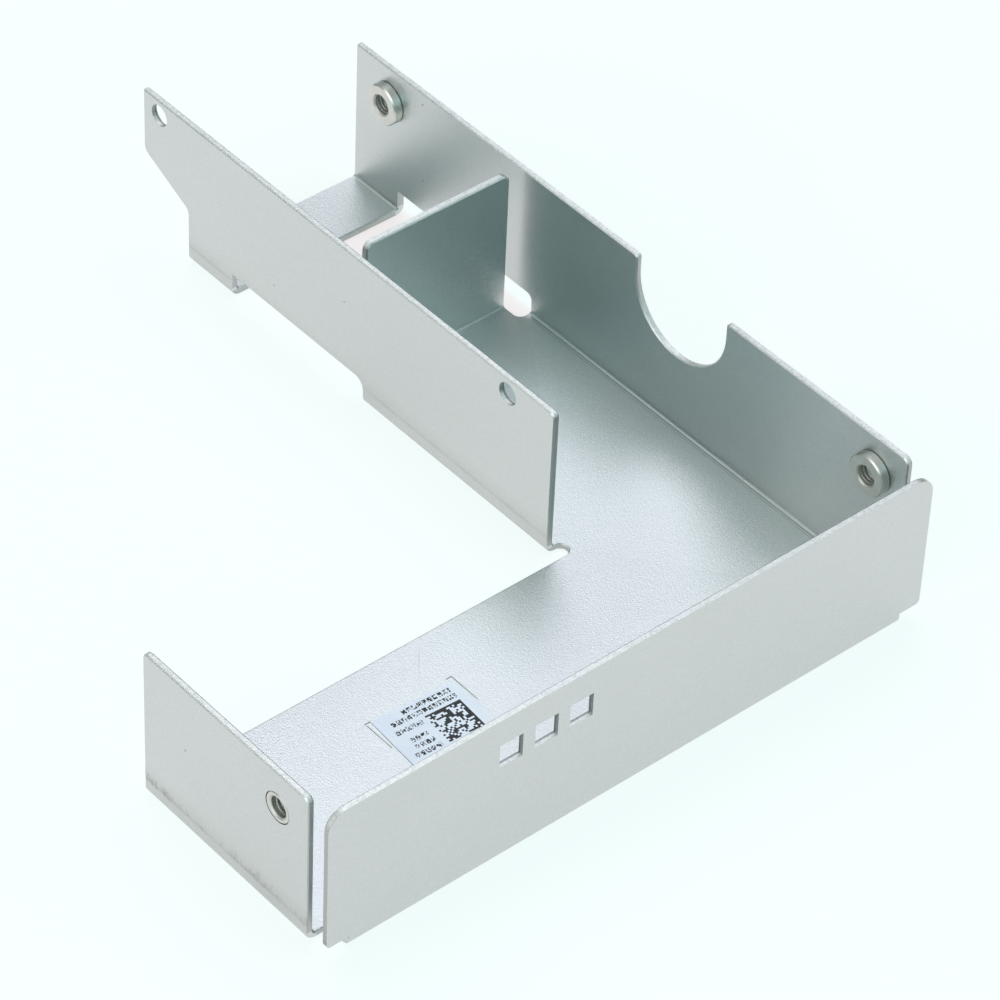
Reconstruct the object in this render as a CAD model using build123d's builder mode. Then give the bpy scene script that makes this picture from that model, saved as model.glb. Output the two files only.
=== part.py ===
"""Drive bay adapter bracket: one folded steel sheet that holds a 2.5 inch drive in a 3.5 inch drive's bay.

The bracket stands on its floor. The front panel faces -Y, the short wall is on the left (-X), the long
wall on the right, and the drive wall stands between them, with the floor cut away to its left for the
small drive. Sizes are in millimetres. Outlines are drawn in the bracket's own measures: x from the short
wall's outer face, y from the front panel's outer face, z from the underside.
"""

import os

from build123d import *

# Sheet: its thickness, the inside radius of every fold, and the break that punching leaves round its inner skin
sheet = 1.0
inside_fold = 0.4
outside_fold = inside_fold + sheet
edge_break = 0.2

# The two drives that the bracket joins, which share one mounting plane above the bracket's underside
mounting_plane = 25.4
bay_width = 101.6
bay_hole_pitch = 101.6
bay_hole_drop = 6.35
drive_width = 69.85
drive_hole_pitch = 76.6
drive_hole_drop = 3.0
drive_hole_lag = 14.0

# Wall tops stay below the mounting plane
wall_gap = 0.4
wall_height = mounting_plane - wall_gap

# Nuts: distance behind the front panel, and wall left behind the rear nut
front_nut_y = 9.95
rear_nut_margin = 7.55
rear_nut_y = front_nut_y + bay_hole_pitch
nut_z = mounting_plane - bay_hole_drop
long_wall_end = rear_nut_y + rear_nut_margin

# Drive wall: screw holes, what the wall extends past them, and the sloping tail past the long wall's end
drive_hole_radius = 1.75
drive_wall_lead = 9.45
drive_wall_tail = 3.75
tail_low_z = 9.3
tail_high_z = 14.1
tail_low_round = 1.2
tail_high_round = 1.6
drive_wall_front_round = 0.9
drive_wall_rear_round = 0.3
drive_hole_z = mounting_plane - drive_hole_drop
rear_hole_y = rear_nut_y + drive_hole_lag
front_hole_y = rear_hole_y - drive_hole_pitch
drive_wall_start = front_hole_y - drive_wall_lead
drive_wall_end = rear_hole_y + drive_wall_tail

# Round-ended slot that frees the front end of the drive wall's fold from the front strip of the floor
corner_slot_width = 2.3
strip_end = drive_wall_start - corner_slot_width

# Front panel: ears past the fold, their gap over the fold, and three square ports
front_corner_round = 3.0
ear_width = 3.6
ear_gap = 0.6
ear_round = 0.6
port_size = 3.8
port_pitch = 5.8
port_count = 3
port_middle_x = 35.0
port_drop = 6.3

# Short and long walls: gap behind the front panel and corner rounds
side_wall_start = 3.95
short_wall_round = 1.0
long_front_round = 1.2
long_rear_round = 0.4

# Screwdriver notch in the long wall, opposite the drive wall's front hole
notch_radius = 9.1
notch_shift_y = -0.25
notch_shift_z = -0.25
notch_lip_round = 0.6

# Window through the floor, which frees the lower edges of both walls beside it
far_strip = 10.3
window_length = 29.7
drive_wall_cut_z = 4.2
drive_wall_cut_round = 1.8
long_wall_cut_z = 3.95
long_wall_cut_round = 0.9
window_end = long_wall_end - far_strip
window_start = window_end - window_length

# Partition folded up from the window's front edge, with a relief on each side of its foot
partition_setback = 3.2
partition_left_gap = 1.85
partition_right_gap = 2.1
partition_round = 1.4
relief_round = 1.1

# Clinch nuts: M3 thread at its major radius, wall round it, flange, head height and edge breaks
thread_radius = 1.5
shank_wall = 0.85
head_flange = 0.9
head_height = 1.5
head_break = 0.2
shank_break = 0.15
mouth_break = 0.25
shank_radius = thread_radius + shank_wall
head_radius = shank_radius + head_flange

# Sticker on the front strip, and the stamped corner marks that locate it
label_width = 13.6
label_length = 10.5
label_film = 0.12
label_round = 0.4
label_middle_x = 36.55
label_shift_y = 3.7
label_turn = -3.8
mark_gap = 0.35
mark_width = 0.25
mark_depth = 0.12
mark_length = 5.3
mark_hook = 0.75

# Faces that follow from the sizes above
drive_wall_x = drive_width
channel_left = drive_wall_x + sheet
channel_right = bay_width - sheet
partition_left = channel_left + partition_left_gap
partition_right = channel_right - partition_right_gap
partition_y = window_start + partition_setback
partition_fold = partition_y - inside_fold
label_middle_y = (sheet + strip_end) / 2 + label_shift_y
mark_x = label_width / 2 + mark_gap
mark_y = label_middle_y + label_length / 2 + mark_gap
ear_bottom = outside_fold + ear_gap
slot_end_radius = corner_slot_width / 2
slot_end_x = drive_wall_x + outside_fold
notch_y = front_hole_y + notch_shift_y
notch_z = drive_hole_z + notch_shift_z

# The origin is midway across and along the bracket, on its underside
left = -bay_width / 2
front = -drive_wall_end / 2
ground = Plane(origin=(left, front, 0))


def plane_along(x: float) -> Plane:
    """Upright plane from front to rear at x, drawn in y and z, facing +X."""
    return Plane(origin=(left + x, front, 0), x_dir=(0, 1, 0), z_dir=(1, 0, 0))


def plane_across(y: float) -> Plane:
    """Upright plane from left to right at y, drawn in x and z, facing -Y."""
    return Plane(origin=(left, front + y, 0), x_dir=(1, 0, 0), z_dir=(0, -1, 0))


def area(low: tuple, high: tuple, mode: Mode = Mode.ADD) -> None:
    """Draws the rectangle between two opposite corners."""
    with Locations(((low[0] + high[0]) / 2, (low[1] + high[1]) / 2)):
        Rectangle(high[0] - low[0], high[1] - low[1], mode=mode)


def outline(*corners: tuple) -> None:
    """Draws a closed outline from corners of the form (across, up, radius)."""
    with BuildLine() as border:
        FilletPolyline(
            [corner[:2] for corner in corners],
            radius=[corner[2] for corner in corners],
            close=True,
        )
    make_face(border.edges())


def fold(x: float, y: float, outward: tuple, length: float) -> None:
    """Adds a quarter-turn fold at a bend line whose middle is x, y, rising on its outward side."""
    section = Plane(origin=(left + x, front + y, 0), x_dir=outward, z_dir=Vector(outward).cross(Vector(0, 0, 1)))
    with BuildSketch(section) as quarter_ring:
        with Locations((0, outside_fold)):
            Circle(outside_fold)
            Circle(inside_fold, mode=Mode.SUBTRACT)
        area((0, 0), (outside_fold, outside_fold), mode=Mode.INTERSECT)
    extrude(quarter_ring.sketch, amount=length / 2, both=True)


def fold_along(x: float, outward: int, start: float, end: float) -> None:
    """Adds a fold along Y, with its wall's outer face at x, between two places."""
    fold(x - outward * outside_fold, (start + end) / 2, (outward, 0, 0), end - start)


def fold_across(y: float, outward: int, start: float, end: float) -> None:
    """Adds a fold along X, with its wall's outer face at y, between two places."""
    fold((start + end) / 2, y - outward * outside_fold, (0, outward, 0), end - start)


def inner_skin(faces: ShapeList) -> list:
    """Picks the faces of the sheet's inner skin: floor top, walls' inner faces and insides of the folds."""
    levels = (
        (Axis.Z, sheet),
        (Axis.X, left + sheet),
        (Axis.X, left + channel_left),
        (Axis.X, left + channel_right),
        (Axis.Y, front + sheet),
        (Axis.Y, front + partition_y),
    )
    flats = [
        face
        for axis, level in levels
        for face in faces.filter_by(axis).filter_by_position(axis, level - edge_break / 2, level + edge_break / 2)
    ]
    bends = [face for face in faces.filter_by(GeomType.CYLINDER) if abs(face.radius - inside_fold) < edge_break / 2]
    return flats + bends


def is_nut_hole(edge: Edge) -> bool:
    """Tells whether an edge is the rim of a hole that takes a clinch nut."""
    return edge.geom_type == GeomType.CIRCLE and abs(edge.radius - shank_radius) < edge_break / 2


with BuildPart() as bracket:
    # Floor between the folds: front strip, channel with its window, and the partition's foot
    with BuildSketch(ground) as floor:
        area((outside_fold, outside_fold), (bay_width - outside_fold, strip_end))
        area((drive_wall_x + outside_fold, outside_fold), (bay_width - outside_fold, long_wall_end))
        area((outside_fold, outside_fold), (ear_width, side_wall_start), Mode.SUBTRACT)
        area((bay_width - ear_width, outside_fold), (bay_width - outside_fold, side_wall_start), Mode.SUBTRACT)
        area((drive_wall_x, window_start), (bay_width, window_end), Mode.SUBTRACT)
        area((partition_left, window_start - relief_round), (partition_right, partition_fold))
        feet = [(partition_left, window_start), (partition_right, window_start)]
        fillet([floor.vertices().sort_by_distance(foot)[0] for foot in feet], relief_round)
        area((drive_wall_x, strip_end), (slot_end_x, drive_wall_start), Mode.SUBTRACT)
        with Locations((slot_end_x, strip_end + slot_end_radius)):
            Circle(slot_end_radius, mode=Mode.SUBTRACT)
    extrude(amount=sheet)

    # Front panel, with an ear past each end of its fold
    with BuildSketch(plane_across(0)):
        outline(
            (0, ear_bottom, ear_round),
            (0, wall_height, front_corner_round),
            (bay_width, wall_height, front_corner_round),
            (bay_width, ear_bottom, ear_round),
            (bay_width - ear_width, ear_bottom, 0),
            (bay_width - ear_width, outside_fold, 0),
            (ear_width, outside_fold, 0),
            (ear_width, ear_bottom, 0),
        )
        with Locations((port_middle_x, wall_height - port_drop)):
            with GridLocations(port_pitch, port_pitch, port_count, 1):
                Rectangle(port_size, port_size, mode=Mode.SUBTRACT)
    extrude(amount=-sheet)
    fold_across(0, -1, ear_width, bay_width - ear_width)

    # Short wall
    with BuildSketch(plane_along(0)):
        outline(
            (side_wall_start, outside_fold, 0),
            (side_wall_start, wall_height, short_wall_round),
            (strip_end, wall_height, short_wall_round),
            (strip_end, outside_fold, 0),
        )
        with Locations((front_nut_y, nut_z)):
            Circle(shank_radius, mode=Mode.SUBTRACT)
    extrude(amount=sheet)
    fold_along(0, -1, side_wall_start, strip_end)

    # Long wall, notched opposite the drive wall's front screw hole
    with BuildSketch(plane_along(channel_right)) as long_wall:
        outline(
            (side_wall_start, outside_fold, 0),
            (side_wall_start, wall_height, long_front_round),
            (long_wall_end, wall_height, long_rear_round),
            (long_wall_end, outside_fold, 0),
            (window_end, outside_fold, 0),
            (window_end, long_wall_cut_z, 0),
            (window_start, long_wall_cut_z, long_wall_cut_round),
            (window_start, outside_fold, 0),
        )
        with Locations((front_nut_y, nut_z), (rear_nut_y, nut_z)):
            Circle(shank_radius, mode=Mode.SUBTRACT)
        with Locations((notch_y, notch_z)):
            Circle(notch_radius, mode=Mode.SUBTRACT)
        area((notch_y - notch_radius, notch_z), (notch_y + notch_radius, wall_height), Mode.SUBTRACT)
        lips = [(notch_y - notch_radius, wall_height), (notch_y + notch_radius, wall_height)]
        fillet([long_wall.vertices().sort_by_distance(lip)[0] for lip in lips], notch_lip_round)
    extrude(amount=sheet)
    fold_along(bay_width, 1, side_wall_start, window_start)
    fold_along(bay_width, 1, window_end, long_wall_end)

    # Drive wall, with a sloping tail that overhangs the end of the floor
    with BuildSketch(plane_along(drive_wall_x)):
        outline(
            (drive_wall_start, outside_fold, 0),
            (drive_wall_start, wall_height, drive_wall_front_round),
            (drive_wall_end, wall_height, drive_wall_rear_round),
            (drive_wall_end, tail_high_z, tail_high_round),
            (long_wall_end, tail_low_z, tail_low_round),
            (long_wall_end, outside_fold, 0),
            (window_end, outside_fold, 0),
            (window_end, drive_wall_cut_z, 0),
            (window_start, drive_wall_cut_z, drive_wall_cut_round),
            (window_start, outside_fold, 0),
        )
        with Locations((front_hole_y, drive_hole_z), (rear_hole_y, drive_hole_z)):
            Circle(drive_hole_radius, mode=Mode.SUBTRACT)
    extrude(amount=sheet)
    fold_along(drive_wall_x, -1, drive_wall_start, window_start)
    fold_along(drive_wall_x, -1, window_end, long_wall_end)

    # Partition across the channel
    with BuildSketch(plane_across(partition_y)):
        outline(
            (partition_left, outside_fold, 0),
            (partition_left, wall_height, partition_round),
            (partition_right, wall_height, partition_round),
            (partition_right, outside_fold, 0),
        )
    extrude(amount=-sheet)
    fold_across(partition_y + sheet, 1, partition_left, partition_right)

    # Broken edge round the whole inner skin, except where a nut's shank fills its hole
    skin = inner_skin(bracket.faces())
    rim = [edge for edge in bracket.edges() if sum(edge in face.edges() for face in skin) == 1]
    chamfer([edge for edge in rim if not is_nut_hole(edge)], edge_break)

    # Stamped corner marks for the sticker, hooked inwards at their rear ends
    with BuildSketch(Plane(origin=(left + label_middle_x, front + mark_y, sheet))):
        area((mark_x, -mark_length), (mark_x + mark_width, mark_width))
        area((mark_x - mark_hook, 0), (mark_x, mark_width))
        mirror(about=Plane.YZ)
    extrude(amount=-mark_depth, mode=Mode.SUBTRACT)


def clinch_nut(label: str, wall_inner_x: float, y: float, inward: int) -> None:
    """Makes and writes one clinch nut: head on the wall's inner face, shank through the wall.

    Its section is drawn as distance inward from the wall's inner face, and radius.
    """
    seat = Vector(left + wall_inner_x, front + y, nut_z)
    section = Plane(origin=seat, x_dir=(inward, 0, 0), z_dir=(0, -inward, 0))
    mouth_radius = thread_radius + mouth_break
    with BuildPart() as nut:
        with BuildSketch(section):
            with BuildLine():
                Polyline(
                    (-sheet, mouth_radius),
                    (-sheet, shank_radius - shank_break),
                    (-sheet + shank_break, shank_radius),
                    (0, shank_radius),
                    (0, head_radius),
                    (head_height - head_break, head_radius),
                    (head_height, head_radius - head_break),
                    (head_height, mouth_radius),
                    (head_height - mouth_break, thread_radius),
                    (-sheet + mouth_break, thread_radius),
                    close=True,
                )
            make_face()
        revolve(axis=Axis(seat, (inward, 0, 0)))
    nut.part.label = label
    export_step(nut.part, f"parts/{label}.step")


with BuildPart() as label:
    with BuildSketch(ground.offset(sheet)):
        with Locations((label_middle_x, label_middle_y)):
            RectangleRounded(label_width, label_length, label_round, rotation=label_turn)
    extrude(amount=label_film)

os.makedirs("parts", exist_ok=True)
bracket.part.label = "bracket"
label.part.label = "label"
export_step(bracket.part, "parts/bracket.step")
export_step(label.part, "parts/label.step")
clinch_nut("nut_short_wall", sheet, front_nut_y, 1)
clinch_nut("nut_long_wall_front", channel_right, front_nut_y, -1)
clinch_nut("nut_long_wall_rear", channel_right, rear_nut_y, -1)
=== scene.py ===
"""Looks of the drive bay adapter bracket: zinc-plated sheet, clinch nuts with threads, sticker and studio.

Lengths are written in millimetres and turned into metres where they enter a mesh or a node. The model's
origin is midway across and along the bracket, on its underside.
"""

import logging
import math
from dataclasses import dataclass
from enum import Enum
from functools import partial, reduce

import bmesh
import bpy
import numpy as np
from mathutils import Matrix, Vector


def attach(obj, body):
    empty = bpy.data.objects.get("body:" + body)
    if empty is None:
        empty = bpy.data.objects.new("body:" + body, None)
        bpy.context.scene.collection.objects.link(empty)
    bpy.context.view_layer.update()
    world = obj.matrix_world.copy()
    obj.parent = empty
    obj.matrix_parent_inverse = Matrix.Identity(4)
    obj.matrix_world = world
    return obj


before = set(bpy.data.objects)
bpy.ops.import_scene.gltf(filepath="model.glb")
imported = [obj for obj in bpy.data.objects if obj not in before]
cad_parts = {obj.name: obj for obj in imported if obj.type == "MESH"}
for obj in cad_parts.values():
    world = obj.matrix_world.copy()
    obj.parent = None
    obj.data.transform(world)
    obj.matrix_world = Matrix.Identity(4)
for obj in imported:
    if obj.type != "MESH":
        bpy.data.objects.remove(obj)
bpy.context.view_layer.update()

log = logging.getLogger("bracket")
MM = 0.001

Socket = bpy.types.NodeSocket
Node = bpy.types.Node
Value = Socket | float
Colour = Socket | tuple

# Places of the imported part, in millimetres
LEFT = -50.8
FRONT = -64.65
SHEET = 1.0
DRIVE_WALL_X = 19.05
CHANNEL_RIGHT = 49.8
PARTITION_Y = 17.65
PARTITION_LEFT = 21.9
PARTITION_RIGHT = 47.7
SIDE_WALL_START = -60.7
STRIP_END = -27.45
PORTS_X = (-24.0, -7.6)
PORTS_Z = (16.2, 21.2)
FRONT_HOLE_Y = (-17.7, -13.7)
REAR_HOLE_Y = (58.9, 62.9)
DRIVE_HOLES_Z = (20.4, 24.4)
WINDOW_X = (23.0, 51.0)
WINDOW_Y = (13.0, 45.5)
NUT_Z = 19.05
FRONT_NUT_Y = -54.7
REAR_NUT_Y = 46.9


class Seat(Enum):
    """Which way a clinch nut's head points from its wall."""

    RIGHTWARD = 1
    LEFTWARD = -1


class Through(Enum):
    """The axis that a wall's thickness lies along, by its number in a place."""

    X = 0
    Y = 1


@dataclass(frozen=True)
class Wall:
    """An upright wall: where its thickness starts, and its reach along the other level axis."""

    through: Through
    low: float
    start: float
    stop: float
    dark_lined: bool = False


@dataclass(frozen=True)
class Opening:
    """Openings in a wall that stand in one row: the wall's place, and their reach along it and in height."""

    through: Through
    low: float
    reach: tuple
    height: tuple


class Shader:
    """A node tree that is filled by short calls."""

    def __init__(self, tree: bpy.types.NodeTree) -> None:
        """Keeps the node tree of a material, world or group."""
        self.tree = tree

    def node(self, kind: str, **settings: object) -> Node:
        """Adds a node.

        Args:
            kind: the node's type name without the ShaderNode prefix.
            settings: attributes of the node.

        Returns:
            The new node.
        """
        made = self.tree.nodes.new("ShaderNode" + kind)
        for name, value in settings.items():
            setattr(made, name, value)
        return made

    def feed(self, socket: Socket, value: Value | tuple) -> None:
        """Links a socket to another one, or sets it to a plain value.

        Args:
            socket: the input that is fed.
            value: an output socket, or a number or colour.
        """
        if isinstance(value, Socket):
            self.tree.links.new(value, socket)
        else:
            socket.default_value = value

    def math(self, operation: str, *values: Value, clamp: bool = False) -> Socket:
        """Adds a Math node.

        Args:
            operation: the node's operation.
            values: one to three inputs.
            clamp: whether the result is held between 0 and 1.

        Returns:
            The result.
        """
        made = self.node("Math", operation=operation, use_clamp=clamp)
        for socket, value in zip(made.inputs, values):
            self.feed(socket, value)
        return made.outputs[0]

    def product(self, first: Socket, *others: Value) -> Socket:
        """Multiplies values from left to right."""
        return reduce(partial(self.math, "MULTIPLY"), others, first)

    def most(self, first: Value, *others: Socket) -> Socket:
        """Takes the largest of several values."""
        return reduce(partial(self.math, "MAXIMUM"), others, first)

    def ramp(self, value: Socket, low: float, high: float, start: float = 0.0, end: float = 1.0) -> Socket:
        """Maps a value smoothly from one range to another.

        Args:
            value: the value.
            low: the value that gives start.
            high: the value that gives end.
            start: the result up to low.
            end: the result from high on.

        Returns:
            The result.
        """
        made = self.node("MapRange", interpolation_type="SMOOTHSTEP", clamp=True)
        for socket, given in zip(made.inputs, (value, low, high, start, end)):
            self.feed(socket, given)
        return made.outputs[0]

    def ramp_mm(self, value: Socket, limits: tuple, start: float = 0.0, end: float = 1.0) -> Socket:
        """Maps a length as ramp does, between two limits in millimetres."""
        low, high = limits
        return self.ramp(value, low * MM, high * MM, start, end)

    def band(self, value: Socket, limits: tuple, soft: float, origin: float = 0.0) -> Socket:
        """Tells where a length is between two limits.

        Args:
            value: the length, in metres.
            limits: the lower and the upper limit, in millimetres.
            soft: how far each border blurs to either side.
            origin: where the limits count from.

        Returns:
            1 between the limits and 0 outside, with soft borders.
        """
        low, high = (origin + limit for limit in limits)
        rise = self.ramp_mm(value, (low - soft, low + soft))
        fall = self.ramp_mm(value, (high - soft, high + soft), 1.0, 0.0)
        return self.product(rise, fall)

    def mix(self, share: Value, first: Colour, second: Colour, blend: str = "MIX") -> Socket:
        """Mixes two colours.

        Args:
            share: how much of the second colour is taken.
            first: the first colour.
            second: the second colour.
            blend: the blend type.

        Returns:
            The mixed colour.
        """
        made = self.node("Mix", data_type="RGBA", blend_type=blend, clamp_factor=True)
        self.feed(made.inputs[0], share)
        self.feed(made.inputs[6], first)
        self.feed(made.inputs[7], second)
        return made.outputs[2]

    def noise(self, place: Socket, size_mm: float, detail: float = 2.0, roughness: float = 0.5) -> Socket:
        """Adds a noise.

        Args:
            place: where it is read.
            size_mm: how wide its features are, about.
            detail: how many finer layers it has.
            roughness: how strong the finer layers are.

        Returns:
            Its value, from 0 to 1.
        """
        made = self.node("TexNoise", noise_dimensions="3D")
        self.feed(made.inputs["Vector"], place)
        self.feed(made.inputs["Scale"], 1 / (size_mm * MM))
        self.feed(made.inputs["Detail"], detail)
        self.feed(made.inputs["Roughness"], roughness)
        return made.outputs[0]

    def cells(self, place: Socket, size_mm: float) -> tuple:
        """Adds Voronoi cells.

        Args:
            place: where they are read.
            size_mm: how wide a cell is, about.

        Returns:
            The distance from a cell's middle, in cells, and two random values for each cell.
        """
        made = self.node("TexVoronoi", feature="F1", voronoi_dimensions="3D")
        self.feed(made.inputs["Vector"], place)
        self.feed(made.inputs["Scale"], 1 / (size_mm * MM))
        parts = self.node("SeparateColor")
        self.feed(parts.inputs[0], made.outputs["Color"])
        return made.outputs["Distance"], parts.outputs[0], parts.outputs[1]

    def stretched(self, place: Socket, squeeze: tuple) -> Socket:
        """Scales a place along each axis.

        Args:
            place: the place.
            squeeze: how much a pattern read from the result is squeezed along each axis.

        Returns:
            The scaled place.
        """
        made = self.node("Mapping")
        self.feed(made.inputs["Vector"], place)
        made.inputs["Scale"].default_value = squeeze
        return made.outputs[0]

    def object_place(self) -> Socket:
        """Gives the place on the piece, in metres."""
        return self.node("TexCoord").outputs["Object"]

    def xyz(self, vector: Socket) -> tuple:
        """Splits a vector.

        Args:
            vector: the vector.

        Returns:
            Its three parts.
        """
        made = self.node("SeparateXYZ")
        self.feed(made.inputs[0], vector)
        return tuple(made.outputs)

    def bump(self, height: Socket, depth_mm: float, strength: float = 1.0) -> Socket:
        """Adds a bump.

        Args:
            height: its height, from 0 to 1.
            depth_mm: the depth that a height of 1 stands for.
            strength: how much of it shows.

        Returns:
            The normal.
        """
        made = self.node("Bump")
        made.inputs["Strength"].default_value = strength
        made.inputs["Distance"].default_value = depth_mm * MM
        self.feed(made.inputs["Height"], height)
        return made.outputs[0]

    def use(self, group: bpy.types.NodeTree, **inputs: Value | tuple) -> dict:
        """Places a node group.

        Args:
            group: the group.
            inputs: values or sockets for the group's inputs.

        Returns:
            The group's outputs by name.
        """
        made = self.node("Group", node_tree=group)
        for name, value in inputs.items():
            self.feed(made.inputs[name], value)
        return {socket.name: socket for socket in made.outputs}


def new_group(name: str, inputs: tuple, outputs: tuple) -> tuple:
    """Starts a shader node group.

    Args:
        name: the group's name.
        inputs: names of the vector inputs.
        outputs: names of the value outputs.

    Returns:
        The group, a Shader that fills it, its input node's sockets by name, and its output node's sockets.
    """
    group = bpy.data.node_groups.new(name, "ShaderNodeTree")
    for socket in inputs:
        group.interface.new_socket(socket, in_out="INPUT", socket_type="NodeSocketVector")
    for socket in outputs:
        group.interface.new_socket(socket, in_out="OUTPUT", socket_type="NodeSocketFloat")
    start = group.nodes.new("NodeGroupInput")
    end = group.nodes.new("NodeGroupOutput")
    return group, Shader(group), {socket.name: socket for socket in start.outputs}, end.inputs


def new_material(name: str) -> tuple:
    """Starts a material.

    Args:
        name: the material's name.

    Returns:
        The material, a Shader that fills it, and its Principled BSDF's inputs.
    """
    made = bpy.data.materials.new(name)
    made.use_nodes = True
    return made, Shader(made.node_tree), made.node_tree.nodes["Principled BSDF"].inputs


@dataclass(frozen=True)
class PlatedGrain:
    """The fine grain of plated sheet.

    Grain is a weighted mean of two noises, the coarser one twice as wide. Spangle is a random value for each
    small cell, and Patch is a slow noise.
    """

    fine_mm: float = 0.15
    coarse_mm: float = 0.3
    fine_share: float = 0.7
    coarse_share: float = 0.3
    cell_mm: float = 0.19
    patch_mm: float = 14.0

    def group(self) -> bpy.types.NodeTree:
        """Builds the node group.

        Returns:
            The group, with the input Place and the outputs Grain, Spangle and Patch.
        """
        made, work, given, end = new_group("plated_grain", ("Place",), ("Grain", "Spangle", "Patch"))
        place = given["Place"]
        fine = work.noise(place, self.fine_mm, detail=1.0)
        coarse = work.product(work.noise(place, self.coarse_mm, detail=1.0), self.coarse_share)
        _, spangle, _ = work.cells(place, self.cell_mm)
        work.feed(end["Grain"], work.math("MULTIPLY_ADD", fine, self.fine_share, coarse))
        work.feed(end["Spangle"], spangle)
        work.feed(end["Patch"], work.noise(place, self.patch_mm, detail=3.0, roughness=0.55))
        return made


@dataclass(frozen=True)
class HandlingMarks:
    """Grubby streaks low on the outer bends at the left, thin scuffs and small dark specks.

    A thin line lies just above the bend, with an even veil below it that fades out above it. Streaks stand on
    the line in clumps: a fine noise drawn out upwards, cut by a limit that rises slowly above the line and
    steeply below it, and falls inside the clumps of a slow noise. All of it lies only on skins that face
    left, up to the drive wall, and is weaker there than at the left edge. Specks are the middles of cells
    picked by chance. Scuffs are the ridges of a noise drawn out along the bracket.
    """

    clean_x: tuple = (40.0, 41.0)
    facing_left: tuple = (-0.35, -0.75)
    line_z: float = 3.0
    line_width: tuple = (0.1, 0.5)
    line_strength: float = 0.28
    line_patches: tuple = (0.30, 0.55)
    line_swing: tuple = (0.5, 1.15)
    veil: float = 0.20
    veil_reach: float = 3.4
    middle_veil: float = 0.75
    streak_reach: float = 3.0
    streak_limit: tuple = (0.56, 0.90)
    streak_edge: tuple = (-0.16, 0.24)
    steeper_below: float = 3.0
    middle_streaks: float = 0.35
    fibre_mm: float = 0.6
    fibre_squeeze: tuple = (1.0, 1.0, 0.5)
    clump_mm: float = 5.0
    clump_squeeze: tuple = (1.0, 1.0, 0.4)
    clump_range: tuple = (0.38, 0.62)
    clump_gain: float = -0.12
    speck_cell_mm: float = 5.0
    speck_size: float = 0.045
    speck_chance: float = 0.62
    scuff_mm: float = 1.1
    scuff_squeeze: tuple = (1.0, 0.07, 0.5)
    scuff_width: float = 0.012

    def group(self) -> bpy.types.NodeTree:
        """Builds the node group.

        Returns:
            The group, with the inputs Place and Facing and the outputs Streak, Speck and Scuff.
        """
        outputs = ("Streak", "Speck", "Scuff")
        made, work, given, end = new_group("handling_marks", ("Place", "Facing"), outputs)
        place = given["Place"]
        work.feed(end["Streak"], self.streaks(work, place, given["Facing"]))
        distance, size, pick = work.cells(place, self.speck_cell_mm)
        near = work.math("LESS_THAN", distance, work.product(size, self.speck_size))
        chosen = work.math("GREATER_THAN", pick, self.speck_chance)
        work.feed(end["Speck"], work.product(near, chosen))
        ridge = work.noise(work.stretched(place, self.scuff_squeeze), self.scuff_mm)
        crest = work.math("ABSOLUTE", work.math("SUBTRACT", ridge, 0.5))
        work.feed(end["Scuff"], work.ramp(crest, 0.0, self.scuff_width, 1.0, 0.0))
        return made

    def streaks(self, work: Shader, place: Socket, facing: Socket) -> Socket:
        """Draws the streaks, the line and the veil.

        Args:
            work: the group's shader.
            place: the place on the piece.
            facing: the way in which the surface faces.

        Returns:
            How dirty the surface is, from 0 to 1.
        """
        x, _, height = work.xyz(place)
        facing_x, _, _ = work.xyz(facing)
        left_side = work.ramp_mm(x, self.clean_x, 1.0, 0.0)
        outside = work.product(work.ramp(facing_x, *self.facing_left), left_side)
        slow = work.noise(work.stretched(place, self.clump_squeeze), self.clump_mm)
        clumps = work.ramp(slow, *self.clump_range)
        upright = work.stretched(place, self.fibre_squeeze)
        fibre = work.noise(upright, self.fibre_mm, detail=4.0, roughness=0.7)
        over = work.math("SUBTRACT", height, self.line_z * MM)
        away = work.most(over, work.product(over, -self.steeper_below))
        limit = work.ramp_mm(away, (0.0, self.streak_reach), *self.streak_limit)
        limit = work.math("MULTIPLY_ADD", clumps, self.clump_gain, limit)
        dirty = work.ramp(work.math("SUBTRACT", fibre, limit), *self.streak_edge)
        dirty = work.product(dirty, work.ramp_mm(x, (LEFT, 0.0), 1.0, self.middle_streaks))
        veil = work.ramp_mm(over, (0.0, self.veil_reach), self.veil, 0.0)
        line = work.ramp_mm(work.math("ABSOLUTE", over), self.line_width, self.line_strength, 0.0)
        line = work.product(line, work.ramp(slow, *self.line_patches, *self.line_swing))
        weaker = work.ramp_mm(x, (LEFT, 0.0), 1.0, self.middle_veil)
        veil = work.product(work.math("ADD", veil, line), weaker)
        return work.product(work.most(dirty, veil), outside)


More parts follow.
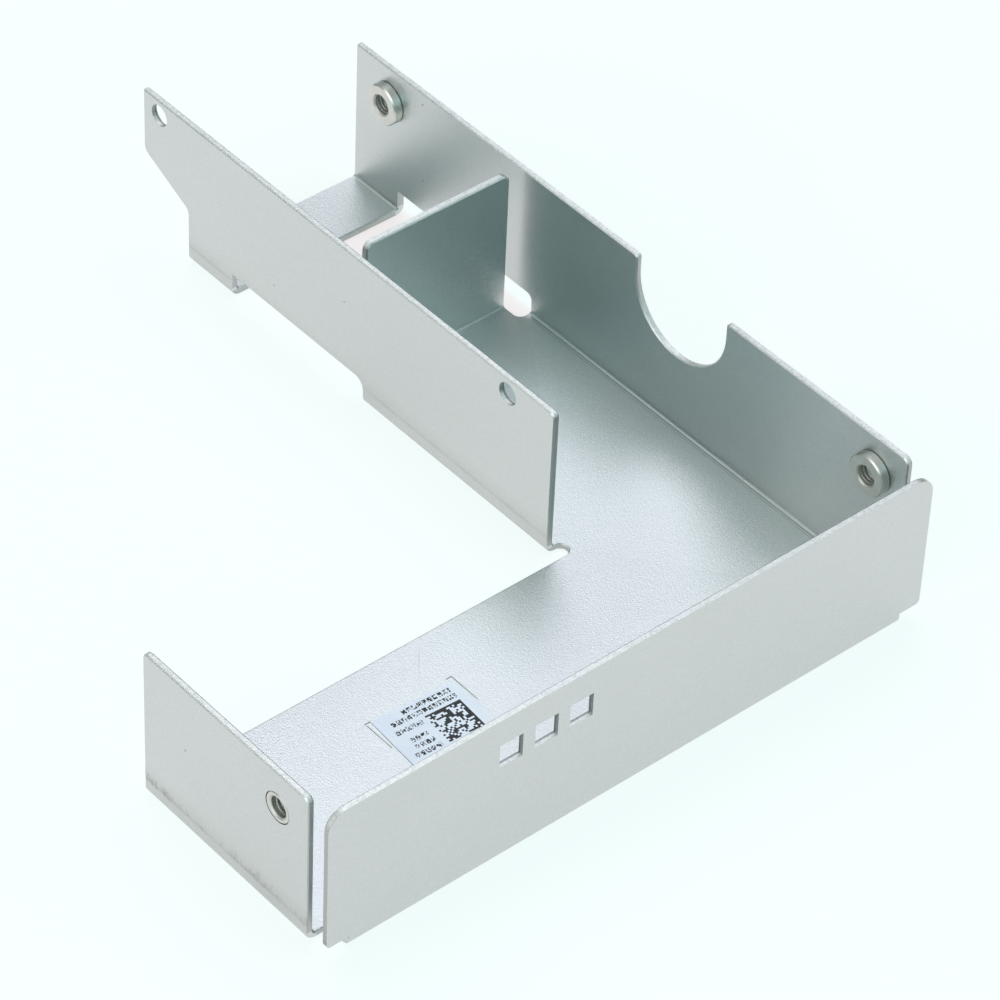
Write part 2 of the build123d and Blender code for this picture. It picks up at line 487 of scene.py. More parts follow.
@dataclass(frozen=True)
class CutMarks:
    """Cut edges, the dark lines that punch and bending tool left, and painted dark reflections along inner
    edges.

    Each wall is a box a little thinner than the sheet, so only its cut edges lie in it, and the strongest box
    counts. The floor is such a box too, away from the folds. A thin dark line lies next to the inner skin of
    the front panel and of the walls that face left: a painted dark reflection of the rounded inner edge. A
    fainter dark line lies on the front strip's rear edge, and a dark band half as wide as the sheet inside
    the ports and the drive wall's holes. Die is on the floor's top: two lines along the foot of the long wall
    up to the window, a short scratch, and the sides of the stamped corner marks. Lines and bands are measured
    from the face or edge beside them.
    """

    clear: float = 0.05
    soft: float = 0.02
    top_start: tuple = (0.90, 0.98)
    top_stop: tuple = (1.02, 1.10)
    fold_clear: tuple = (1.5, 1.6)
    fold_soft: float = 0.05
    above_floor: tuple = (1.45, 1.55)
    overlap: float = 0.1
    # Where the painted dark reflection line lies across a wall's thickness, from its outer skin.
    burr_and_dark_reflection: tuple = (0.78, 0.90)
    strip_burr: tuple = (-0.33, -0.20)
    strip_x: tuple = (20.0, 19.0)
    strip_strength: float = 0.5
    broken: tuple = (0.52, 0.98)
    broken_strength: float = 0.75
    near_line: tuple = (-0.60, -0.44)
    near_strength: float = 0.75
    off_line: tuple = (-0.98, -0.86)
    off_soft: float = 0.06
    off_strength: float = 0.5
    lines_end: tuple = (14.0, 13.0)
    scratch_slope: tuple = (0.772, -0.635)
    scratch_across: tuple = (13.28, 13.38)
    scratch_y: tuple = (-33.9, -29.4)
    scratch_soft: tuple = (0.05, 0.6)
    scratch_strength: float = 0.35
    stamped_x: tuple = (-27.0, -2.0)
    stamped_y: tuple = (-52.0, -31.0)
    stamped_z: tuple = (0.90, 0.985)
    stamped_soft: float = 0.01
    stamped_strength: float = 0.7
    walls: tuple = (
        Wall(Through.X, LEFT, SIDE_WALL_START, STRIP_END, dark_lined=True),
        Wall(Through.X, DRIVE_WALL_X, STRIP_END, -FRONT, dark_lined=True),
        Wall(Through.X, CHANNEL_RIGHT, SIDE_WALL_START, -FRONT),
        Wall(Through.Y, FRONT, LEFT, -LEFT, dark_lined=True),
        Wall(Through.Y, PARTITION_Y, PARTITION_LEFT, PARTITION_RIGHT),
    )
    openings: tuple = (
        Opening(Through.Y, FRONT, PORTS_X, PORTS_Z),
        Opening(Through.X, DRIVE_WALL_X, FRONT_HOLE_Y, DRIVE_HOLES_Z),
        Opening(Through.X, DRIVE_WALL_X, REAR_HOLE_Y, DRIVE_HOLES_Z),
    )

    def group(self) -> bpy.types.NodeTree:
        """Builds the node group.

        Returns:
            The group, with the input Place and the outputs Edge, BurrAndReflection and Die.
        """
        made, work, given, end = new_group("cut_edges", ("Place",), ("Edge", "BurrAndReflection", "Die"))
        place = work.xyz(given["Place"])
        x, y, z = place
        rise = work.ramp_mm(z, self.top_start)
        floor_top = work.product(rise, work.ramp_mm(z, self.top_stop, 1.0, 0.0))
        edge, burr_and_dark_reflection = self.wall_edges(work, place)
        floor = work.band(z, (self.clear, SHEET - self.clear), self.soft)
        near, far = self.fold_clear
        across = work.band(x, (LEFT + near, -LEFT - near), self.fold_soft)
        along = work.ramp_mm(y, (FRONT + near, FRONT + far))
        work.feed(end["Edge"], work.most(edge, work.product(across, along, floor)))
        work.feed(end["BurrAndReflection"], self.dark_lines(work, place, floor_top, burr_and_dark_reflection))
        work.feed(end["Die"], self.floor_marks(work, place, floor_top))
        return made

    def wall_edges(self, work: Shader, place: tuple) -> tuple:
        """Finds the cut edges of the walls, and the painted dark reflection lines along their inner edges.

        Args:
            work: the group's shader.
            place: the three parts of the place.

        Returns:
            The edges and the painted dark reflection lines, each from 0 to 1.
        """
        above = work.ramp_mm(place[2], self.above_floor)
        edge: Value = 0.0
        burr_and_dark_reflection: Value = 0.0
        for wall in self.walls:
            through, along = place[wall.through.value], place[1 - wall.through.value]
            inside = work.band(through, (self.clear, SHEET - self.clear), self.soft, wall.low)
            reach = work.band(along, (wall.start - self.overlap, wall.stop + self.overlap), self.soft)
            reach = work.product(reach, above)
            edge = work.most(edge, work.product(inside, reach))
            # A thin dark line next to the inner skin: painted dark reflection of the rounded inner edge.
            if wall.dark_lined:
                dark_lined = work.band(through, self.burr_and_dark_reflection, self.soft, wall.low)
                burr_and_dark_reflection = work.most(burr_and_dark_reflection, work.product(dark_lined, reach))
        return edge, burr_and_dark_reflection

    def dark_lines(self, work: Shader, place: tuple, floor_top: Socket, burr_and_dark_reflection: Socket) -> Socket:
        """Adds the dark line along the front strip's rear edge, and the dull inner half of the openings'
        walls.

        Args:
            work: the group's shader.
            place: the three parts of the place.
            floor_top: 1 at the height of the floor's top.
            burr_and_dark_reflection: the painted dark reflection lines of the walls.

        Returns:
            All dark lines and bands, the walls' painted dark reflections among them, from 0 to 1.
        """
        x, y, z = place
        left_part = work.ramp_mm(x, self.strip_x)
        strip = work.product(work.band(y, self.strip_burr, self.soft, STRIP_END), left_part)
        burr_and_dark_reflection = work.most(burr_and_dark_reflection, work.product(strip, floor_top, self.strip_strength))
        for hole in self.openings:
            through, along = place[hole.through.value], place[1 - hole.through.value]
            opening = work.band(along, hole.reach, self.soft)
            opening = work.product(opening, work.band(z, hole.height, self.soft))
            broken = work.band(through, self.broken, self.soft, hole.low)
            burr_and_dark_reflection = work.most(burr_and_dark_reflection, work.product(opening, broken, self.broken_strength))
        return burr_and_dark_reflection

    def floor_marks(self, work: Shader, place: tuple, floor_top: Socket) -> Socket:
        """Draws the bending tool's lines, the scratch and the sides of the stamped marks.

        The scratch lies where x and y, each times its share of the slope, add up to one length.

        Args:
            work: the group's shader.
            place: the three parts of the place.
            floor_top: 1 at the height of the floor's top.

        Returns:
            The marks, from 0 to 1.
        """
        x, y, z = place
        near = work.product(work.band(x, self.near_line, self.soft, CHANNEL_RIGHT), self.near_strength)
        off = work.product(work.band(x, self.off_line, self.off_soft, CHANNEL_RIGHT), self.off_strength)
        slope_x, slope_y = self.scratch_slope
        across = work.math("MULTIPLY_ADD", x, slope_x, work.product(y, slope_y))
        soft_across, soft_ends = self.scratch_soft
        scratch = work.band(across, self.scratch_across, soft_across)
        scratch = work.product(scratch, work.band(y, self.scratch_y, soft_ends))
        lines = work.most(near, off, work.product(scratch, self.scratch_strength))
        lines = work.product(floor_top, work.ramp_mm(y, self.lines_end), lines)
        stamped = work.product(
            work.band(z, self.stamped_z, self.stamped_soft),
            work.band(x, self.stamped_x, self.soft),
            work.band(y, self.stamped_y, self.soft),
            self.stamped_strength,
        )
        return work.most(lines, stamped)


@dataclass(frozen=True)
class ZincFinish:
    """Zinc-plated sheet: satin, bluish, with fine grain, slow patches, cut edges and handling marks.

    The tone is a weighted sum of cells, grain and patches. Cut edges are brighter, mottled and rougher, and
    painted darker where they stand upright: a painted shade by the way they face.
    """

    light: tuple = (0.748, 0.813, 0.801, 1.0)
    dark: tuple = (0.687, 0.752, 0.740, 1.0)
    cut_light: tuple = (0.94, 1.00, 0.965, 1.0)
    cut_dark: tuple = (0.80, 0.86, 0.83, 1.0)
    # Painted shade colour of cut faces that stand upright.
    cut_upright_painted_shade: tuple = (0.56, 0.60, 0.59, 1.0)
    # Colour of tool lines and dull broken bands, and of the painted dark reflection along inner edges.
    burr_and_dark_reflection: tuple = (0.30, 0.32, 0.33, 1.0)
    grime: tuple = (0.36, 0.36, 0.305, 1.0)
    spangle_weight: float = 0.45
    grain_weight: float = 0.6
    patch_weight: float = 0.25
    tone_range: tuple = (0.35, 0.95)
    mottle_mm: float = 0.4
    mottle_range: tuple = (0.36, 0.56)
    upright_shade_facing: tuple = (0.2, 0.6)
    streak_strength: float = 0.68
    speck_strength: float = 0.7
    roughness: float = 0.335
    roughness_swing: float = 0.08
    streak_roughness: float = 0.2
    scuff_roughness: float = -0.015
    cut_roughness: float = 0.15
    grain_depth_mm: float = 0.045
    grain_group: PlatedGrain = PlatedGrain()
    marks_group: HandlingMarks = HandlingMarks()
    cuts_group: CutMarks = CutMarks()

    def material(self, name: str) -> bpy.types.Material:
        """Makes the material.

        Args:
            name: the material's name.

        Returns:
            The material.
        """
        made, work, metal = new_material(name)
        place = work.object_place()
        facing = work.node("TexCoord").outputs["Normal"]
        grain = work.use(self.grain_group.group(), Place=place)
        marks = work.use(self.marks_group.group(), Place=place, Facing=facing)
        cuts = work.use(self.cuts_group.group(), Place=place)

        tone = work.product(grain["Grain"], self.grain_weight)
        tone = work.math("MULTIPLY_ADD", grain["Spangle"], self.spangle_weight, tone)
        tone = work.math("MULTIPLY_ADD", grain["Patch"], self.patch_weight, tone)
        colour = work.mix(work.ramp(tone, *self.tone_range), self.dark, self.light)
        mottle = work.noise(place, self.mottle_mm, detail=2.0, roughness=0.6)
        mottle = work.ramp(mottle, *self.mottle_range)
        _, _, upward = work.xyz(facing)
        cut = work.mix(mottle, self.cut_dark, self.cut_light)
        # Cut faces that stand upright are painted darker by their facing: painted shade.
        cut = work.mix(work.ramp(upward, *self.upright_shade_facing), self.cut_upright_painted_shade, cut)
        colour = work.mix(cuts["Edge"], colour, cut)
        # Dark lines: tool marks and broken bands, and a painted dark reflection along the walls' inner edges.
        colour = work.mix(work.most(cuts["BurrAndReflection"], cuts["Die"]), colour, self.burr_and_dark_reflection)
        colour = work.mix(work.product(marks["Streak"], self.streak_strength), colour, self.grime)
        colour = work.mix(work.product(marks["Speck"], self.speck_strength), colour, self.grime)
        work.feed(metal["Base Color"], colour)

        swing = work.product(work.math("SUBTRACT", grain["Spangle"], 0.5), self.roughness_swing)
        rough = work.math("ADD", swing, self.roughness)
        rough = work.math("MULTIPLY_ADD", marks["Streak"], self.streak_roughness, rough)
        rough = work.math("MULTIPLY_ADD", marks["Scuff"], self.scuff_roughness, rough)
        rough = work.math("MULTIPLY_ADD", cuts["Edge"], self.cut_roughness, rough, clamp=True)
        work.feed(metal["Roughness"], rough)
        metal["Metallic"].default_value = 1.0
        work.feed(metal["Normal"], work.bump(grain["Grain"], self.grain_depth_mm))
        return made


@dataclass(frozen=True)
class NutFinish:
    """Turned and plated steel: warmer and duller than the sheet, with fine rings left by the tool.

    The bore is painted darker, a painted shade, and its mouth is duller. A dark line round the head where it
    meets the wall and a dark ring round the outer end of the shank, strongest on its lower rear side, are
    painted shade.
    """

    light: tuple = (0.79, 0.82, 0.77, 1.0)
    dark: tuple = (0.70, 0.73, 0.68, 1.0)
    # Painted shade colour of the bore's inside.
    bore: tuple = (0.40, 0.42, 0.38, 1.0)
    # Painted shade colour of the line at the wall and of the shank's gap.
    seam_and_gap_shade: tuple = (0.10, 0.11, 0.105, 1.0)
    bore_shade_strength: float = 0.8
    bore_radius: tuple = (1.62, 1.50)
    mouth_radius: tuple = (1.90, 1.80)
    mouth_roughness: float = 0.2
    gap_radius: tuple = (2.12, 2.18)
    gap_depth: float = 0.80
    gap_direction: tuple = (0.545, -0.839)
    gap_fade: tuple = (-0.3, 0.9)
    gap_upper_strength: float = 0.35
    head_radius: tuple = (2.2, 2.5)
    seam_x: tuple = (-0.12, 0.12)
    seam_soft: float = 0.03
    tone_range: tuple = (0.35, 0.65)
    patch_mm: float = 1.4
    patch_share: float = 0.6
    ring_share: float = 0.4
    roughness: float = 0.27
    patch_roughness: float = 0.12
    ring_mm: float = 0.11
    ring_depth_mm: float = 0.006
    ring_strength: float = 0.7

    def material(self, name: str, wall_x: float, centre_y: float, seat: Seat) -> bpy.types.Material:
        """Makes the material of a nut.

        The distance from the nut's axis drives the noise of the rings, so they run round the bore.

        Args:
            name: the material's name.
            wall_x: the wall's inner face, in millimetres.
            centre_y: the place of the nut's axis along the bracket, in millimetres.
            seat: the way in which the head points.

        Returns:
            The material.
        """
        made, work, metal = new_material(name)
        place = work.object_place()
        centred = work.node("Mapping")
        work.feed(centred.inputs["Vector"], place)
        centred.inputs["Location"].default_value = (-wall_x * MM, -centre_y * MM, -NUT_Z * MM)
        x, y, z = work.xyz(centred.outputs[0])
        radius = work.math("SQRT", work.math("ADD", work.product(y, y), work.product(z, z)))
        turned = work.node("CombineXYZ")
        work.feed(turned.inputs[0], radius)
        work.feed(turned.inputs[1], x)
        rings = work.noise(turned.outputs[0], self.ring_mm, detail=2.0, roughness=0.6)
        patches = work.noise(place, self.patch_mm, detail=3.0, roughness=0.6)
        tone = work.product(rings, self.ring_share)
        tone = work.math("MULTIPLY_ADD", patches, self.patch_share, tone)
        colour = work.mix(work.ramp(tone, *self.tone_range), self.dark, self.light)
        # The bore is painted darker: painted shade inside the hole.
        bore = work.ramp_mm(radius, self.bore_radius, 0.0, self.bore_shade_strength)
        colour = work.mix(bore, colour, self.bore)
        # Painted shade: a dark line round the head at the wall and a dark ring round the shank's outer end.
        seam_and_gap_shade = work.band(x, self.seam_x, self.seam_soft)
        seam_and_gap_shade = work.product(seam_and_gap_shade, work.ramp_mm(radius, self.head_radius))
        seam_and_gap_shade = work.most(seam_and_gap_shade, self.gap(work, (x, y, z), radius, seat))
        work.feed(metal["Base Color"], work.mix(seam_and_gap_shade, colour, self.seam_and_gap_shade))
        rough = work.math("MULTIPLY_ADD", patches, self.patch_roughness, self.roughness)
        mouth = work.ramp_mm(radius, self.mouth_radius, 0.0, self.mouth_roughness)
        work.feed(metal["Roughness"], work.math("ADD", rough, mouth))
        metal["Metallic"].default_value = 1.0
        work.feed(metal["Normal"], work.bump(rings, self.ring_depth_mm, self.ring_strength))
        return made

    def gap(self, work: Shader, place: tuple, radius: Socket, seat: Seat) -> Socket:
        """Draws the painted shade of a gap round the outer end of the shank, a gap that the shape does not
        have.

        It is strongest where y and z, each times its share of the direction, add up to the most.

        Args:
            work: the shader.
            place: the three parts of the place, from the nut's middle on the wall's inner face.
            radius: the distance from the nut's axis.
            seat: the way in which the head points.

        Returns:
            The painted shade, from 0 to 1.
        """
        x, y, z = place
        depth = work.product(x, float(seat.value))
        outer = work.math("LESS_THAN", depth, -self.gap_depth * SHEET * MM)
        ring = work.product(work.ramp_mm(radius, self.gap_radius), outer)
        share_y, share_z = self.gap_direction
        below = work.math("MULTIPLY_ADD", y, share_y, work.product(z, share_z))
        return work.product(ring, work.ramp_mm(below, self.gap_fade, self.gap_upper_strength, 1.0))


@dataclass(frozen=True)
class StickerFinish:
    """Pale blue silvered film with rows of plain dark marks and one square field of small squares.

    A row gives the place of its middle along and across the sticker, and its length.
    """

    film: tuple = (0.850, 0.950, 1.000, 1.0)
    film_dark: tuple = (0.815, 0.920, 0.990, 1.0)
    ink: tuple = (0.040, 0.046, 0.046, 1.0)
    silvering: float = 0.6
    specular: float = 0.3
    cloud_mm: float = 2.5
    cloud_range: tuple = (0.35, 0.65)
    centre_x: float = -14.25
    centre_y: float = -41.85
    turn: float = -3.8
    roughness: float = 0.42
    ink_roughness: float = -0.08
    border: float = 0.01
    dot: float = 0.165
    dot_chance: float = 0.42
    mark_dots: int = 4
    row_dots: int = 5
    rows_apart: int = 40
    rows: tuple = (
        (1.35, 4.25, 7.9),
        (0.15, 3.0, 10.4),
        (-3.3, 1.4, 4.4),
        (-3.2, -0.65, 2.8),
        (-3.2, -1.95, 3.1),
        (-3.55, -3.3, 4.3),
    )
    field_centre: tuple = (2.4, -0.8)
    field_side: float = 5.7
    field_cells: int = 18
    field_chance: float = 0.5

    def material(self, name: str) -> bpy.types.Material:
        """Makes the material.

        Args:
            name: the material's name.

        Returns:
            The material.
        """
        made, work, film = new_material(name)
        place = work.object_place()
        centred = work.node("VectorMath", operation="SUBTRACT")
        work.feed(centred.inputs[0], place)
        centred.inputs[1].default_value = (self.centre_x * MM, self.centre_y * MM, 0.0)
        straight = work.node("VectorRotate", rotation_type="Z_AXIS")
        work.feed(straight.inputs["Vector"], centred.outputs[0])
        straight.inputs["Angle"].default_value = math.radians(-self.turn)
        x, y, _ = work.xyz(straight.outputs[0])
        ink = work.most(self.marks(work, x, y), self.field(work, x, y))

        tint = work.ramp(work.noise(place, self.cloud_mm, detail=3.0), *self.cloud_range)
        paper = work.mix(tint, self.film, self.film_dark)
        work.feed(film["Base Color"], work.mix(ink, paper, self.ink))
        rough = work.math("MULTIPLY_ADD", ink, self.ink_roughness, self.roughness)
        work.feed(film["Roughness"], rough)
        film["Metallic"].default_value = self.silvering
        film["Specular IOR Level"].default_value = self.specular
        return made

    @staticmethod
    def chance(work: Shader, across: Socket, along: Socket, size: float) -> Socket:
        """Gives a random value for each square cell of a grid.

        Args:
            work: the shader.
            across: the place along the first axis of the grid.
            along: the place along its second axis.
            size: the side of a cell, in millimetres.

        Returns:
            The value, from 0 to 1.
        """
        grid = work.node("CombineXYZ")
        for socket, value in zip(grid.inputs, (across, along)):
            work.feed(socket, work.math("FLOOR", work.math("DIVIDE", value, size * MM)))
        random = work.node("TexWhiteNoise", noise_dimensions="2D")
        work.feed(random.inputs["Vector"], grid.outputs[0])
        return random.outputs["Value"]

    def marks(self, work: Shader, x: Socket, y: Socket) -> Socket:
        """Inks the rows of marks.

        A row is a strip a few dots high. Along it, marks a few dots wide stand one dot apart. Inside a mark
        each dot is inked by chance, so the row looks printed and says nothing.

        Args:
            work: the shader.
            x: the place along the rows.
            y: the place across them.

        Returns:
            The ink, 0 or 1.
        """
        ink: Value = 0.0
        pitch = (self.mark_dots + 1) * self.dot
        high = self.row_dots * self.dot
        for number, (centre, row, length) in enumerate(self.rows):
            along = work.math("SUBTRACT", x, (centre - length / 2) * MM)
            across = work.math("SUBTRACT", y, (row - high / 2) * MM)
            inside = work.band(along, (0.0, length), self.border)
            inside = work.product(inside, work.band(across, (0.0, high), self.border))
            step = work.math("PINGPONG", along, pitch / 2 * MM)
            gap = work.math("GREATER_THAN", step, self.dot / 2 * MM)
            apart = work.math("ADD", across, self.rows_apart * number * self.dot * MM)
            value = self.chance(work, along, apart, self.dot)
            dotted = work.math("GREATER_THAN", value, self.dot_chance)
            ink = work.most(ink, work.product(gap, dotted, inside))
        return ink

    def field(self, work: Shader, x: Socket, y: Socket) -> Socket:
        """Inks a square of small cells by chance, with a full line along two of its sides.

        Args:
            work: the shader.
            x: the place along the rows.
            y: the place across them.

        Returns:
            The ink, 0 or 1.
        """
        half = self.field_side / 2
        cell = self.field_side / self.field_cells
        along = work.math("SUBTRACT", x, (self.field_centre[0] - half) * MM)
        across = work.math("SUBTRACT", y, (self.field_centre[1] - half) * MM)
        ink = work.math("GREATER_THAN", self.chance(work, along, across, cell), self.field_chance)
        for value in (along, across):
            ink = work.most(ink, work.math("GREATER_THAN", value, (self.field_side - cell) * MM))
        for value in (along, across):
            ink = work.product(ink, work.band(value, (0.0, self.field_side), self.border))
        return ink


@dataclass(frozen=True)
class FloorFinish:
    """Pale studio floor: it takes the object's shadow, and shows light of its own to seen and mirrored rays.

    Inside the window in the bracket's floor, the paper that the camera sees is painted warmer and darker: a
    painted warm shade under the bracket.
    """

    tint: tuple = (0.30, 0.30, 0.30, 1.0)
    seen: tuple = (0.745, 0.825, 0.815, 1.0)
    # Painted warm shade of the paper inside the window, for camera rays.
    painted_shade_in_window: tuple = (0.76, 0.728, 0.726, 1.0)
    mirrored: tuple = (0.690, 0.674, 0.672, 1.0)
    painted_shade_border: float = 0.5
    cloud_mm: float = 400.0
    cloud_range: tuple = (0.3, 0.7)
    cloud_tone: tuple = (0.985, 1.0)
    roughness: float = 0.9
    specular: float = 0.1

    def material(self, name: str) -> bpy.types.Material:
        """Makes the material.

        Args:
            name: the material's name.

        Returns:
            The material.
        """
        made, work, paper = new_material(name)
        place = work.object_place()
        cloud = work.ramp(work.noise(place, self.cloud_mm), *self.cloud_range, *self.cloud_tone)
        work.feed(paper["Base Color"], work.mix(1.0, self.tint, cloud, "MULTIPLY"))
        paper["Roughness"].default_value = self.roughness
        paper["Specular IOR Level"].default_value = self.specular
        path = work.node("LightPath").outputs
        mirrored = work.most(path["Is Glossy Ray"], path["Is Transmission Ray"])
        x, y, _ = work.xyz(place)
        # The patch inside the window is a painted warm shade under the bracket.
        window = work.band(x, WINDOW_X, self.painted_shade_border)
        window = work.product(window, work.band(y, WINDOW_Y, self.painted_shade_border))
        seen = work.mix(window, self.seen, self.painted_shade_in_window)
        work.feed(paper["Emission Color"], work.mix(path["Is Camera Ray"], self.mirrored, seen))
        work.feed(paper["Emission Strength"], work.most(path["Is Camera Ray"], mirrored))
        return made


def mesh_object(name: str, points: np.ndarray, faces: np.ndarray, smooth: bool = True) -> bpy.types.Object:
    """Makes an object from arrays of points and quads.

    Args:
        name: the object's name.
        points: n by 3 coordinates in millimetres.
        faces: m by 4 corner numbers.
        smooth: whether the faces are shaded smooth.

    Returns:
        The object, linked to the scene, with its place in its mesh.
    """
    mesh = bpy.data.meshes.new(name)
    mesh.from_pydata((points * MM).tolist(), [], faces.tolist())
    mesh.polygons.foreach_set("use_smooth", np.full(len(mesh.polygons), smooth))
    mesh.update()
    made = bpy.data.objects.new(name, mesh)
    bpy.context.scene.collection.objects.link(made)
    return made


def grid_faces(rows: int, columns: int) -> np.ndarray:
    """Numbers the quads of a grid whose columns close on themselves.

    Args:
        rows: points along the grid.
        columns: points round it.

    Returns:
        One row of four corners for each quad.
    """
    row, column = np.meshgrid(np.arange(rows - 1), np.arange(columns), indexing="ij")
    first, column = row.ravel() * columns, column.ravel()
    after = (column + 1) % columns
    corners = (first + column, first + after, first + columns + after, first + columns + column)
    return np.stack(corners, 1)


def close_ends(piece: bpy.types.Object, rows: int, columns: int) -> None:
    """Puts one face on each open end of a tube and turns all faces outwards.

    Args:
        piece: the tube's object.
        rows: rings along the tube.
        columns: points round it.
    """
    work = bmesh.new()
    work.from_mesh(piece.data)
    work.verts.ensure_lookup_table()
    for row in (0, rows - 1):
        work.faces.new([work.verts[row * columns + k] for k in range(columns)])
    bmesh.ops.recalc_face_normals(work, faces=work.faces)
    work.to_mesh(piece.data)
    work.free()


def dress(piece: bpy.types.Object, material: bpy.types.Material) -> None:
    """Gives a piece its material in place of any it has."""
    piece.data.materials.clear()
    piece.data.materials.append(material)


def soften(node: bpy.types.Object, angle: float = 32.0, merge: float = 0.0005) -> None:
    """Shades a CAD node's curved faces smooth by live modifiers, without touching its points.

    Args:
        node: the CAD node's object.
        angle: the sharpest turn, in degrees, that is shaded as one face.
        merge: how near two points are, in millimetres, when they count as one.
    """
    node.data.polygons.foreach_set("use_smooth", np.ones(len(node.data.polygons), bool))
    if node.data.has_custom_normals:
        with bpy.context.temp_override(object=node, active_object=node, selected_objects=[node]):
            bpy.ops.mesh.customdata_custom_splitnormals_clear()
    weld = node.modifiers.new("merge", "WELD")
    weld.merge_threshold = merge * MM
    split = node.modifiers.new("creases", "EDGE_SPLIT")
    split.split_angle = math.radians(angle)
    split.use_edge_sharp = False


@dataclass
class Sheet:
    """The folded sheet, as packed, in its zinc finish."""

    finish: ZincFinish = ZincFinish()

    def build(self) -> None:
        """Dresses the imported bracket."""
        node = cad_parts["bracket"]
        dress(node, self.finish.material("zinc_sheet"))
        soften(node)
        log.info("bracket dressed, %d faces", len(node.data.polygons))


@dataclass
class ClinchNut:
    """One clinch nut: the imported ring, and the thread in its bore.

    The thread's section gives, for each corner, its place along the bore in pitches and its height, from the
    root at 0 to the crest at 1. The corner below 0 is sunk into the wall.
    """

    node: str
    wall_x: float
    centre_y: float
    seat: Seat
    finish: NutFinish = NutFinish()
    crease_angle: float = 40.0
    pitch: float = 0.5
    major_radius: float = 1.5
    minor_radius: float = 1.25
    bore_start: float = -0.72
    bore_end: float = 1.22
    end_margin: float = 0.4
    root_bite: float = 0.03
    sunk_bite: float = 0.05
    fade_turns: float = 1 / 3
    least_width: float = 0.15
    steps_per_turn: int = 40
    section: tuple = ((-0.40, 0.0), (-0.06, 1.0), (0.06, 1.0), (0.40, 0.0), (0.0, -0.1))

    def thread(self) -> bpy.types.Object:
        """Builds the ridge of the thread as one closed ribbon wound along the bore.

        The section is carried along a helix: its place along the axis grows by one pitch a turn. The root
        lies a little inside the wall, and at both ends the crest sinks into it over a part of a turn.

        Returns:
            The thread.
        """
        turns = (self.bore_end - self.bore_start - 2 * self.end_margin * self.pitch) / self.pitch
        count = int(turns * self.steps_per_turn) + 1
        angle = np.linspace(0.0, 2 * np.pi * turns, count)
        along = self.bore_start + self.end_margin * self.pitch + angle / (2 * np.pi) * self.pitch
        fade = np.minimum(angle, angle[-1] - angle) / (2 * np.pi * self.fade_turns)
        fade = np.clip(fade, 0.0, 1.0)[:, None]
        root = self.major_radius + self.root_bite
        across, high = np.array(self.section).T
        depth = (root - self.minor_radius) * fade * np.where(high > 0, high, 0.0)
        radius = root - depth + np.where(high < 0, self.sunk_bite, 0.0)
        place = along[:, None] + across * self.pitch * np.maximum(fade, self.least_width)
        x = self.wall_x + self.seat.value * place
        y = self.centre_y + radius * np.cos(angle)[:, None]
        z = NUT_Z + radius * np.sin(angle)[:, None]
        points = np.stack(np.broadcast_arrays(x, y, z), -1).reshape(-1, 3)
        columns = len(across)
        name = "thread_" + self.node.removeprefix("nut_")
        made = mesh_object(name, points, grid_faces(count, columns))
        close_ends(made, count, columns)
        return made

    def build(self) -> None:
        """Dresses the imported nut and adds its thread."""
        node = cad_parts[self.node]
        steel = self.finish.material("steel_" + self.node, self.wall_x, self.centre_y, self.seat)
        dress(node, steel)
        soften(node, self.crease_angle)
        thread = self.thread()
        dress(thread, steel)
        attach(thread, "root")
        log.info("%s dressed, thread of %d faces", self.node, len(thread.data.polygons))


@dataclass
class Sticker:
    """The sticker on the front strip, as packed, with its print."""

    finish: StickerFinish = StickerFinish()

    def build(self) -> None:
        """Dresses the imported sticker."""
        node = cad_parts["label"]
        dress(node, self.finish.material("label_film"))
        soften(node)
        log.info("label dressed")


@dataclass(frozen=True)
class Glow:
    """One soft bright part of the sky, as a window or a lit screen gives it."""

    azimuth: float
    elevation: float
    reach: float
    light: tuple

    def towards(self) -> tuple:
        """Gives the direction of its middle, with azimuth 0 along +Y and 90 along +X."""
        turn, rise = math.radians(self.azimuth), math.radians(self.elevation)
        return (math.sin(turn) * math.cos(rise), math.cos(turn) * math.cos(rise), math.sin(rise))


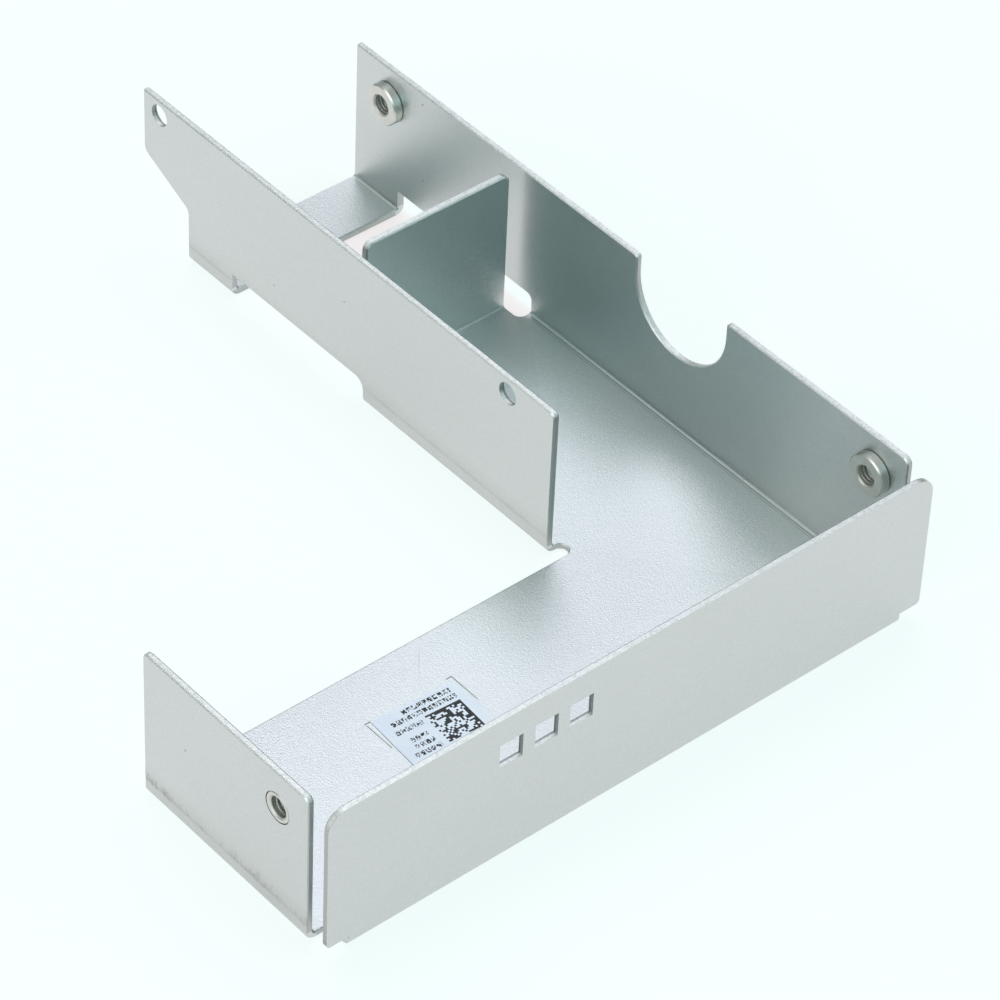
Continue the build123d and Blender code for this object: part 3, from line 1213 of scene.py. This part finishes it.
@dataclass
class Studio:
    """Pale floor under a sky of soft glows: brightest overhead behind the object and low at its left."""

    floor_finish: FloorFinish = FloorFinish()
    floor_side: float = 6.0
    glows: tuple = (
        Glow(45.0, 62.0, 33.0, (1.52, 1.50, 1.67, 1.0)),
        Glow(270.0, 27.0, 33.0, (1.92, 1.78, 1.78, 1.0)),
        Glow(225.0, 12.0, 46.0, (0.74, 0.96, 1.00, 1.0)),
        Glow(0.0, 42.0, 46.0, (0.48, 0.49, 0.47, 1.0)),
        Glow(135.0, 42.0, 46.0, (0.65, 0.78, 0.78, 1.0)),
        Glow(315.0, 42.0, 46.0, (0.19, 0.22, 0.23, 1.0)),
    )

    def build(self) -> None:
        """Makes the floor and the sky."""
        half = self.floor_side / 2 / MM
        corners = half * np.array([(-1, -1, 0), (1, -1, 0), (1, 1, 0), (-1, 1, 0)])
        floor = mesh_object("studio_floor", corners, np.array([(0, 1, 2, 3)]), smooth=False)
        dress(floor, self.floor_finish.material("studio_paper"))
        self.sky()
        log.info("studio of %d glows", len(self.glows))

    def sky(self) -> None:
        """Makes a sky whose colour is the sum of its glows.

        Each glow falls smoothly from its middle to nothing at its reach, by the cosine of the angle.
        """
        world = bpy.data.worlds.new("sky")
        bpy.context.scene.world = world
        world.use_nodes = True
        work = Shader(world.node_tree)
        direction = work.node("TexCoord").outputs["Generated"]
        light: Colour = (0.0, 0.0, 0.0, 1.0)
        for glow in self.glows:
            turned = work.node("VectorMath", operation="DOT_PRODUCT")
            work.feed(turned.inputs[0], direction)
            turned.inputs[1].default_value = glow.towards()
            share = work.ramp(turned.outputs["Value"], math.cos(math.radians(glow.reach)), 1.0)
            light = work.mix(share, light, glow.light, "ADD")
        work.feed(world.node_tree.nodes["Background"].inputs["Color"], light)


@dataclass
class PhotoCamera:
    """The camera at the photograph's place, worked out from the bracket's known sizes."""

    place: tuple = (-314.031, -385.208, 450.863)
    azimuth: float = 41.9918
    elevation: float = 41.9770
    roll: float = 2.6716
    lens: float = 177.039
    sensor: float = 36.0
    nearest: float = 0.01
    farthest: float = 50.0

    def build(self) -> None:
        """Makes the camera.

        Its view runs to the right of +Y by the azimuth and down by the elevation. Its right-hand side is
        level, and is then turned up by the roll.
        """
        turn, drop, lean = (math.radians(a) for a in (self.azimuth, self.elevation, self.roll))
        level_ahead = Vector((math.sin(turn), math.cos(turn), 0.0))
        ahead = level_ahead * math.cos(drop) - Vector((0.0, 0.0, math.sin(drop)))
        level = Vector((math.cos(turn), -math.sin(turn), 0.0))
        right = level * math.cos(lean) + level.cross(ahead) * math.sin(lean)
        up = right.cross(ahead)
        lens = bpy.data.cameras.new("photo_camera")
        lens.lens = self.lens
        lens.sensor_width = self.sensor
        lens.clip_start = self.nearest
        lens.clip_end = self.farthest
        made = bpy.data.objects.new("photo_camera", lens)
        turned = Matrix((right, up, -ahead)).transposed().to_4x4()
        made.matrix_world = Matrix.Translation(Vector(self.place) * MM) @ turned
        bpy.context.scene.collection.objects.link(made)
        bpy.context.scene.camera = made


def main() -> None:
    """Builds the pieces in order, then the studio and the camera."""
    logging.basicConfig(level=logging.INFO, format="%(name)s: %(message)s")
    bpy.context.scene.view_settings.view_transform = "Standard"
    Sheet().build()
    ClinchNut("nut_short_wall", LEFT + SHEET, FRONT_NUT_Y, Seat.RIGHTWARD).build()
    ClinchNut("nut_long_wall_front", CHANNEL_RIGHT, FRONT_NUT_Y, Seat.LEFTWARD).build()
    ClinchNut("nut_long_wall_rear", CHANNEL_RIGHT, REAR_NUT_Y, Seat.LEFTWARD).build()
    Sticker().build()
    Studio().build()
    PhotoCamera().build()


if __name__ == "__main__":
    main()
